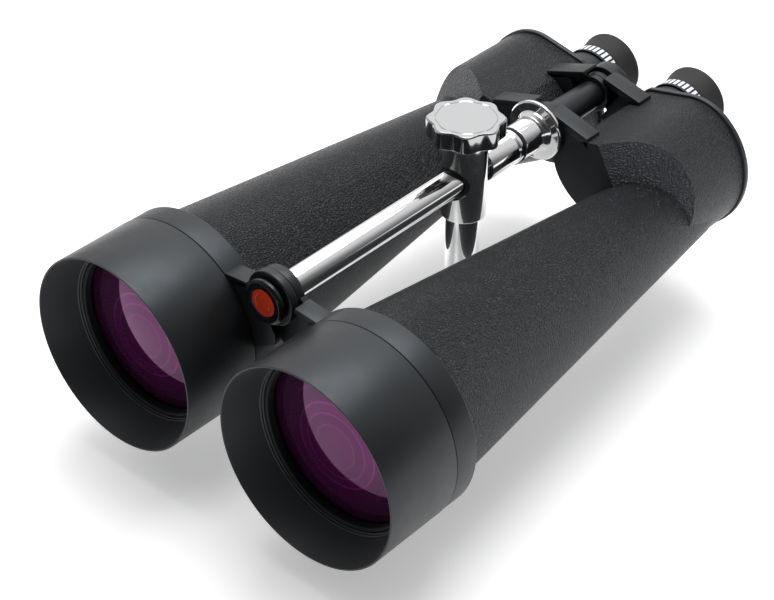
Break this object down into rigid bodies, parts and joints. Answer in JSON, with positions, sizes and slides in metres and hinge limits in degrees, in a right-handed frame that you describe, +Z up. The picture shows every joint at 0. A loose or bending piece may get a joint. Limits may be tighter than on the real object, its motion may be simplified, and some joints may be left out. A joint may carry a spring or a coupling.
{
  "type": "astronomy binoculars",
  "caption": "Giant Porro-prism binoculars on a centre hinge, with a bridge rod carrying a sliding clamp and tripod post.",
  "frame": {"origin": "centre of the footprint, at the level the hoods and the tripod post stand on", "axes": "+Y from the objectives to the eyepieces, +Z up, +X to the right half as seen by the observer"},
  "size_m": [0.2542, 0.394, 0.1391],
  "materials": {
    "satin_black": "satin black enamel, fine orange peel",
    "leatherette": "pebbled black synthetic leather",
    "black_metal": "flat black anodised aluminium",
    "chrome": "polished plating",
    "steel": "turned steel",
    "rubber": "matte black rubber",
    "coated_glass": "polished glass, violet anti-reflection coating",
    "clear_glass": "polished prism glass",
    "red_inlay": "glossy red-orange disc",
    "nylon": "black moulded nylon"
  },
  "bodies": {
    "right_half": {"right_dew_hood": "satin_black", "right_lens_retainer": "black_metal", "right_crown_lens": "coated_glass", "right_flint_lens": "coated_glass", "right_objective_cell": "black_metal", "right_front_arm": "satin_black", "right_barrel": "black_metal", "right_barrel_leatherette": "leatherette", "right_prism_housing": "satin_black", "right_housing_leatherette": "leatherette", "right_rear_prism": "clear_glass", "right_front_prism": "clear_glass", "right_prism_shelf": "steel", "right_rear_cover": "satin_black", "right_eyepiece_base": "satin_black", "bridge_rod": "chrome", "hinge_axle": "steel", "rod_sleeve": "chrome", "stop_ring": "rubber", "end_flange": "chrome", "front_cap": "nylon", "cap_inlay": "red_inlay", "hinge_end_cap": "satin_black"},
    "left_half": {"left_dew_hood": "satin_black", "left_lens_retainer": "black_metal", "left_crown_lens": "coated_glass", "left_flint_lens": "coated_glass", "left_objective_cell": "black_metal", "left_front_arm": "satin_black", "left_barrel": "black_metal", "left_barrel_leatherette": "leatherette", "left_prism_housing": "satin_black", "left_housing_leatherette": "leatherette", "left_rear_prism": "clear_glass", "left_front_prism": "clear_glass", "left_prism_shelf": "steel", "left_rear_cover": "satin_black", "left_eyepiece_base": "satin_black", "hinge_tube": "satin_black"},
    "right_ocular": {"right_ocular_tube": "black_metal", "right_field_lens": "coated_glass", "right_eye_lens": "coated_glass"},
    "right_focus": {"right_focus_ring": "satin_black", "right_eyecup": "rubber"},
    "left_ocular": {"left_ocular_tube": "black_metal", "left_field_lens": "coated_glass", "left_eye_lens": "coated_glass"},
    "left_focus": {"left_focus_ring": "satin_black", "left_eyecup": "rubber"},
    "liner": {"clamp_liner": "nylon"},
    "adapter": {"adapter_block": "chrome", "adapter_post": "chrome", "tripod_insert": "steel"},
    "screw": {"clamp_screw": "steel"},
    "knob": {"clamp_knob": "chrome"}
  },
  "joints": [
    {"name": "centre_hinge", "type": "hinge", "parent": "right_half", "child": "left_half", "pos_m": [0, 0, 0.10144], "axis": [0, 1, 0], "range_deg": [-19, 32]},
    {"name": "adapter_slide", "type": "slide", "parent": "right_half", "child": "liner", "axis": [0, -1, 0], "range_m": [0, 0.125]},
    {"name": "adapter_swing", "type": "hinge", "parent": "liner", "child": "adapter", "pos_m": [0, 0.0111, 0.10144], "axis": [0, 1, 0], "range_deg": [-18, 18]},
    {"name": "clamp_screw_travel", "type": "slide", "parent": "adapter", "child": "screw", "axis": [0, 0, 1], "range_m": [0, 0.0025]},
    {"name": "clamp_knob_turn", "type": "hinge", "parent": "screw", "child": "knob", "pos_m": [0, 0.0111, 0.1336], "axis": [0, 0, 1], "range_deg": [0, 720.01]},
    {"name": "right_focus_travel", "type": "slide", "parent": "right_half", "child": "right_ocular", "axis": [0, 1, 0], "range_m": [-0.0015, 0.0075]},
    {"name": "right_focus_turn", "type": "hinge", "parent": "right_ocular", "child": "right_focus", "pos_m": [0.03173, 0.177, 0.08146], "axis": [0, 1, 0], "range_deg": [-45.01, 225.01]},
    {"name": "left_focus_travel", "type": "slide", "parent": "left_half", "child": "left_ocular", "axis": [0, 1, 0], "range_m": [-0.0015, 0.0075]},
    {"name": "left_focus_turn", "type": "hinge", "parent": "left_ocular", "child": "left_focus", "pos_m": [-0.03173, 0.177, 0.08146], "axis": [0, 1, 0], "range_deg": [-45.01, 225.01]}
  ],
  "couplings": [
    {"joint": "clamp_knob_turn", "follows": "clamp_screw_travel", "rad_per_m": 5026.5},
    {"joint": "right_focus_turn", "follows": "right_focus_travel", "rad_per_m": 523.6},
    {"joint": "left_focus_turn", "follows": "left_focus_travel", "rad_per_m": 523.6}
  ]
}
